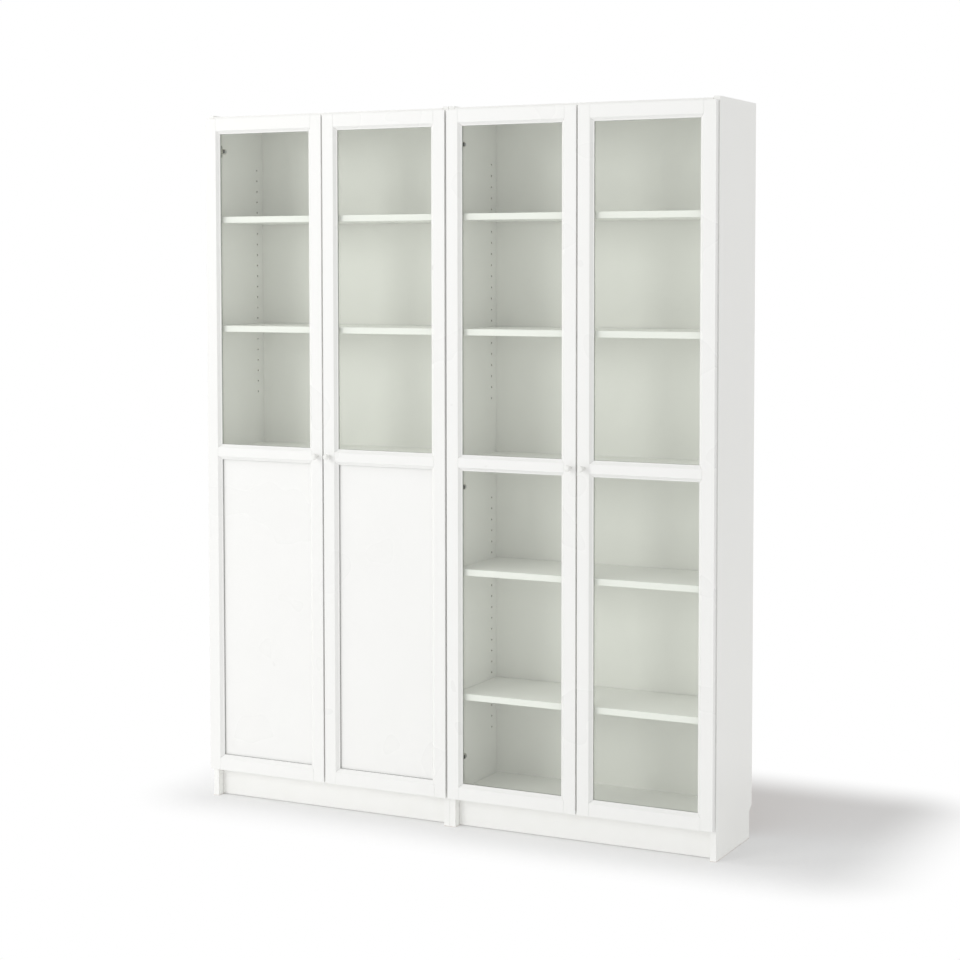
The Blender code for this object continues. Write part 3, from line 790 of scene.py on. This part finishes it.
PLATE_CORNER = 0.005
PLATE_WING = (0.010, 0.026)         # start of the plate to its wings
PLATE_SCREW_ALONG = 0.018           # start of the plate to its screws
PLATE_SCREW_RISES = (-0.0125, 0.0125)
RAIL_HALF = 0.0075
RAIL_EASE = 0.0006
SIDE_FACE = 0.015 - PIVOT_ACROSS
LEVER_START = 0.0405        # door back to the release lever
LEVER_LENGTH = 0.0075
LEVER_HALF = 0.0050
LEVER_RISE = 0.0016
LEVER_CORNER = 0.0015
LEVER_EASE = 0.0004
THIN = 0.0005               # less than the thickness of any plate here

# Nickel plate on pressed steel: warm grey metal, polished by rolling, with faint drawing
# marks along it.
nickel, shader, place = new_look(
    "nickel_plated_steel", Base_Color=linear("cfcdc8"), Metallic=1.0, Roughness=0.28)
stretched = add(nickel, "ShaderNodeMapping", {"Vector": place, "Scale": (1.0, 0.12, 1.0)})
marks = add(nickel, "ShaderNodeTexNoise", {
    "Vector": stretched.outputs[0], "Scale": 1 / 0.0012, "Detail": 3.0})
drawn = add(nickel, "ShaderNodeMapRange", {
    "Value": marks.outputs["Fac"], "To Min": 0.18, "To Max": 0.40})
feed(nickel, shader, {"Roughness": drawn.outputs["Result"]})
# Dark acetal: the release lever on each arm, moulded with a fine matt skin of spark marks.
acetal, shader, place = new_look("dark_acetal", Base_Color=linear("34332f"), IOR=1.48)
sparked = add(acetal, "ShaderNodeTexNoise", {"Vector": place, "Scale": 1 / 0.0008, "Detail": 3.0})
matt = add(acetal, "ShaderNodeMapRange", {
    "Value": sparked.outputs["Fac"], "To Min": 0.42, "To Max": 0.60})
skin = add(acetal, "ShaderNodeBump", {
    "Height": sparked.outputs["Fac"], "Strength": 0.5, "Distance": 0.0001})
feed(acetal, shader, {"Roughness": matt.outputs["Result"], "Normal": skin.outputs["Normal"]})


def cup():
    """A cup and its wings for a door hung on its left, with the pivot at 0."""
    across = CUP_CENTRE - PIVOT_ACROSS
    back = PIVOT_DEPTH
    body = rod((across, back - CUP_DEPTH, 0), (across, back + CUP_RIM, 0), CUP_RADIUS, 40)
    wings = block((across - WING_WIDTH / 2, back + WING_LIFT, -WING_SPAN / 2),
                  (across + WING_WIDTH / 2, back + CUP_LIP, WING_SPAN / 2))
    bevel(wings, [edge for edge in wings.edges
                  if abs(edge.verts[0].co.y - edge.verts[1].co.y) > THIN], WING_CORNER, 5)
    hollow = rod((across, back - CUP_DEPTH + CUP_FLOOR, 0), (across, back + 0.003, 0),
                 CUP_HOLLOW, 40)
    shape = worked(body, ("UNION", wings), ("DIFFERENCE", hollow))
    pivot = rod((0, 0, -CUP_RADIUS * 0.8), (0, 0, CUP_RADIUS * 0.8), PIVOT_RADIUS, 16)
    return gather(shape, pivot)


def arm():
    """An arm, bent from a strip with an eye at the pivot, which is at 0."""
    half = ARM_THICKNESS / 2
    turns = [math.radians(30 + 300 * step / 16) for step in range(17)]
    eye = [(EYE_RADIUS * math.cos(turn), EYE_RADIUS * math.sin(turn)) for turn in turns]
    end = PIVOT_DEPTH + ARM_REACH
    leg = [(ARM_OFFSET + ARM_THICKNESS, -half), (ARM_OFFSET + ARM_THICKNESS, end),
           (ARM_OFFSET, end), (ARM_OFFSET, half)]
    strip = prism([(across, along, -ARM_WIDTH / 2) for across, along in (*eye, *leg)],
                  (0, 0, ARM_WIDTH))
    bevel(strip, [edge for edge in strip.edges
                  if all(point.co.x > ARM_OFFSET - HAIR for point in edge.verts)], ARM_EASE, 2)
    hole = rod((0, 0, -ARM_WIDTH), (0, 0, ARM_WIDTH), PIVOT_RADIUS + 0.0002, 16)
    return worked(strip, ("DIFFERENCE", hole))


def mounting_plate():
    """A cross-shaped plate on the side of the unit, under the arm."""
    start, end = PIVOT_DEPTH + PLATE_START, PIVOT_DEPTH + ARM_REACH - 0.0005
    rail = block((SIDE_FACE + 0.0004, start, -RAIL_HALF), (ARM_OFFSET - HAIR, end, RAIL_HALF))
    bevel(rail, [edge for edge in rail.edges
                 if all(point.co.x > ARM_OFFSET - THIN for point in edge.verts)], RAIL_EASE, 2)
    wings = block((SIDE_FACE + 0.0003, start + PLATE_WING[0], -PLATE_HALF),
                  (SIDE_FACE + PLATE_THICKNESS, start + PLATE_WING[1], PLATE_HALF))
    bevel(wings, [edge for edge in wings.edges
                  if abs(edge.verts[0].co.x - edge.verts[1].co.x) > THIN], PLATE_CORNER, 5)
    return worked(rail, ("UNION", wings))


for door, hung in DOORS.items():
    sign = 1 if hung == "left" else -1
    for row in (1, 2, 3):
        cup_node, arm_node = f"door_{door}_hinge_cup_{row}", f"door_{door}_hinge_arm_{row}"
        low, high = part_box(cup_node)
        up = (low.z + high.z) / 2
        frame_low, frame_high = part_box(f"door_{door}_frame")
        edge = frame_low.x if sign > 0 else frame_high.x
        pivot = Vector((edge + sign * PIVOT_ACROSS, frame_high.y - PIVOT_DEPTH, up))
        mirrored = sign < 0
        piece(f"door_{door}_cup_{row}", moved(cup(), pivot, mirrored), f"door_{door}",
              (nickel,), (cup_node,))
        seat = frame_high.y + CUP_LIP
        across = edge + sign * CUP_CENTRE
        heads = [screw_head((across, seat, up + rise), (0, 1, 0), *WING_SCREW)
                 for rise in (-WING_SCREWS, WING_SCREWS)]
        piece(f"door_{door}_cup_screws_{row}", gather(*heads), f"door_{door}",
              (steel,))
        piece(f"door_{door}_arm_{row}", gather(
            moved(arm(), pivot, mirrored), moved(mounting_plate(), pivot, mirrored)),
            "cabinet", (nickel,), (arm_node,))
        start = pivot.y + PIVOT_DEPTH + PLATE_START
        plate_face = pivot.x + sign * (SIDE_FACE + PLATE_THICKNESS)
        arm_face = pivot.x + sign * (ARM_OFFSET + ARM_THICKNESS)
        fixings = [screw_head((plate_face, start + PLATE_SCREW_ALONG, up + rise),
                              (sign, 0, 0), *PLATE_SCREW) for rise in PLATE_SCREW_RISES]
        fixings += [screw_head((arm_face, start + along, up), (sign, 0, 0), *ARM_SCREW)
                    for along in ARM_SCREWS]
        piece(f"door_{door}_plate_screws_{row}", gather(*fixings), "cabinet",
              (steel,))
        back = pivot.y + PIVOT_DEPTH + LEVER_START
        lever = block((arm_face + sign * HAIR, back, up - LEVER_HALF),
                      (arm_face + sign * LEVER_RISE, back + LEVER_LENGTH, up + LEVER_HALF))
        bevel(lever, [edge for edge in lever.edges
                      if abs(edge.verts[0].co.x - edge.verts[1].co.x) > THIN], LEVER_CORNER, 4)
        bevel(lever, [edge for edge in lever.edges if all(
            abs(point.co.x - arm_face) > LEVER_RISE / 2 for point in edge.verts)], LEVER_EASE, 2)
        piece(f"door_{door}_release_lever_{row}", lever, "cabinet", (acetal,))


# ---------------------------------------------------------------------------------------
# The studio: a pale floor that keeps the shadow near the furniture and fades to white, a
# white world, a large soft lamp to the left in front, a weaker one high on the left, and the
# camera.

CAMERA_PLACE = (2.6778, -5.1562, 1.5673)
CAMERA_YAW = 26.0783
CAMERA_TILT = 3.1566
CAMERA_LENS = 76.6547
CAMERA_SHIFT = (-0.038776, -0.10)
AMBIENT = 0.70
FLOOR_RADIUS = 14.0
SHADOW_CENTRE = (0.16, 0.26)
SHADOW_HALF = (0.90, 0.32)
SHADOW_FADE = 0.34          # from the kept shadow to plain white
# Name, degrees to the left of straight in front, degrees up, metres away, metres wide, watts.
LAMPS = (("soft_key", 31.0, 14.0, 8.0, 4.0, 138.0),
         ("high_side", 62.0, 42.0, 5.0, 1.8, 29.0))
LAMPS_AIM = (0, 0, 1.0)
FLOOR_GLOW = 0.15           # added to the light that the floor throws up at the furniture
FLOOR_PALE = 0.86           # the floor as the camera sees it where it keeps the shadow,
FLOOR_LIFT = 0.04           # and the light added to it there

camera_data = bpy.data.cameras.new("photo_camera")
camera_data.sensor_width = 36.0
camera_data.lens = CAMERA_LENS
camera_data.shift_x, camera_data.shift_y = CAMERA_SHIFT
camera_data.clip_end = 60.0
camera = bpy.data.objects.new("photo_camera", camera_data)
camera.location = CAMERA_PLACE
camera.rotation_euler = (math.radians(90 - CAMERA_TILT), 0, math.radians(CAMERA_YAW))
bpy.context.scene.collection.objects.link(camera)
bpy.context.scene.camera = camera
bpy.context.scene.view_settings.view_transform = "Standard"


def seen_rays(look):
    """1 for rays from the camera and those mirrored or passed on by glass, and 0 for others."""
    path = add(look, "ShaderNodeLightPath")
    total = add(look, "ShaderNodeMath", {
        0: path.outputs["Is Camera Ray"], 1: path.outputs["Is Glossy Ray"]}, operation="ADD")
    return add(look, "ShaderNodeMath", {
        0: total.outputs[0], 1: path.outputs["Is Transmission Ray"]},
        operation="ADD", use_clamp=True).outputs[0]


world = bpy.data.worlds.new("white_room")
world.use_nodes = True
bpy.context.scene.world = world
strength = add(world, "ShaderNodeMapRange", {
    "Value": seen_rays(world), "To Min": AMBIENT, "To Max": 1.0})
feed(world, world.node_tree.nodes["Background"], {
    "Color": (1.0, 1.0, 1.0, 1.0), "Strength": strength.outputs["Result"]})

ground = bmesh.new()
bmesh.ops.create_circle(ground, cap_ends=True, segments=64, radius=FLOOR_RADIUS)
ground_mesh = bpy.data.meshes.new("floor")
ground.to_mesh(ground_mesh)
ground.free()
floor_look, shader, place = new_look(
    "pale_studio_floor", Base_Color=linear("f2f2f2"), Roughness=0.9)
parts = add(floor_look, "ShaderNodeSeparateXYZ", {0: place})
reach = []
for axis, centre, half in zip("XY", SHADOW_CENTRE, SHADOW_HALF):
    step = parts.outputs[axis]
    for operation, values in (("SUBTRACT", {1: centre}), ("ABSOLUTE", {}),
                              ("SUBTRACT", {1: half}), ("MAXIMUM", {1: 0.0})):
        step = add(floor_look, "ShaderNodeMath", {0: step, **values},
                   operation=operation).outputs[0]
    reach.append(step)
apart = add(floor_look, "ShaderNodeCombineXYZ", {0: reach[0], 1: reach[1]})
length = add(floor_look, "ShaderNodeVectorMath", {0: apart.outputs[0]}, operation="LENGTH")
fade = add(floor_look, "ShaderNodeMapRange", {
    "Value": length.outputs["Value"], "From Min": 0.0, "From Max": SHADOW_FADE},
    interpolation_type="SMOOTHSTEP")
glow = add(floor_look, "ShaderNodeEmission", {
    "Color": (1, 1, 1, 1), "Strength": FLOOR_LIFT})
pale = add(floor_look, "ShaderNodeBsdfDiffuse", {
    "Color": (FLOOR_PALE, FLOOR_PALE, FLOOR_PALE, 1)})
lit = add(floor_look, "ShaderNodeAddShader", {0: glow.outputs[0], 1: pale.outputs[0]})
white = add(floor_look, "ShaderNodeEmission", {"Color": (1, 1, 1, 1), "Strength": 1.0})
faded = add(floor_look, "ShaderNodeMixShader", {
    0: fade.outputs["Result"], 1: lit.outputs[0], 2: white.outputs[0]})
bounce = add(floor_look, "ShaderNodeEmission", {"Color": (1, 1, 1, 1), "Strength": FLOOR_GLOW})
unseen = add(floor_look, "ShaderNodeAddShader", {0: shader.outputs[0], 1: bounce.outputs[0]})
by_ray = add(floor_look, "ShaderNodeMixShader", {
    0: seen_rays(floor_look), 1: unseen.outputs[0], 2: faded.outputs[0]})
feed(floor_look, floor_look.node_tree.nodes["Material Output"], {"Surface": by_ray.outputs[0]})
ground_mesh.materials.append(floor_look)
floor = bpy.data.objects.new("floor", ground_mesh)
bpy.context.scene.collection.objects.link(floor)

for name, turn, rise, distance, size, power in LAMPS:
    lamp_data = bpy.data.lights.new(name, "AREA")
    lamp_data.shape = "DISK"
    lamp_data.size = size
    lamp_data.energy = power
    lamp = bpy.data.objects.new(name, lamp_data)
    turn, rise = math.radians(turn), math.radians(rise)
    towards = Vector((-math.sin(turn) * math.cos(rise), -math.cos(turn) * math.cos(rise),
                      math.sin(rise)))
    lamp.location = Vector(LAMPS_AIM) + towards * distance
    lamp.rotation_euler = towards.to_track_quat("Z", "Y").to_euler()
    lamp.visible_camera = lamp.visible_glossy = lamp.visible_transmission = False
    bpy.context.scene.collection.objects.link(lamp)
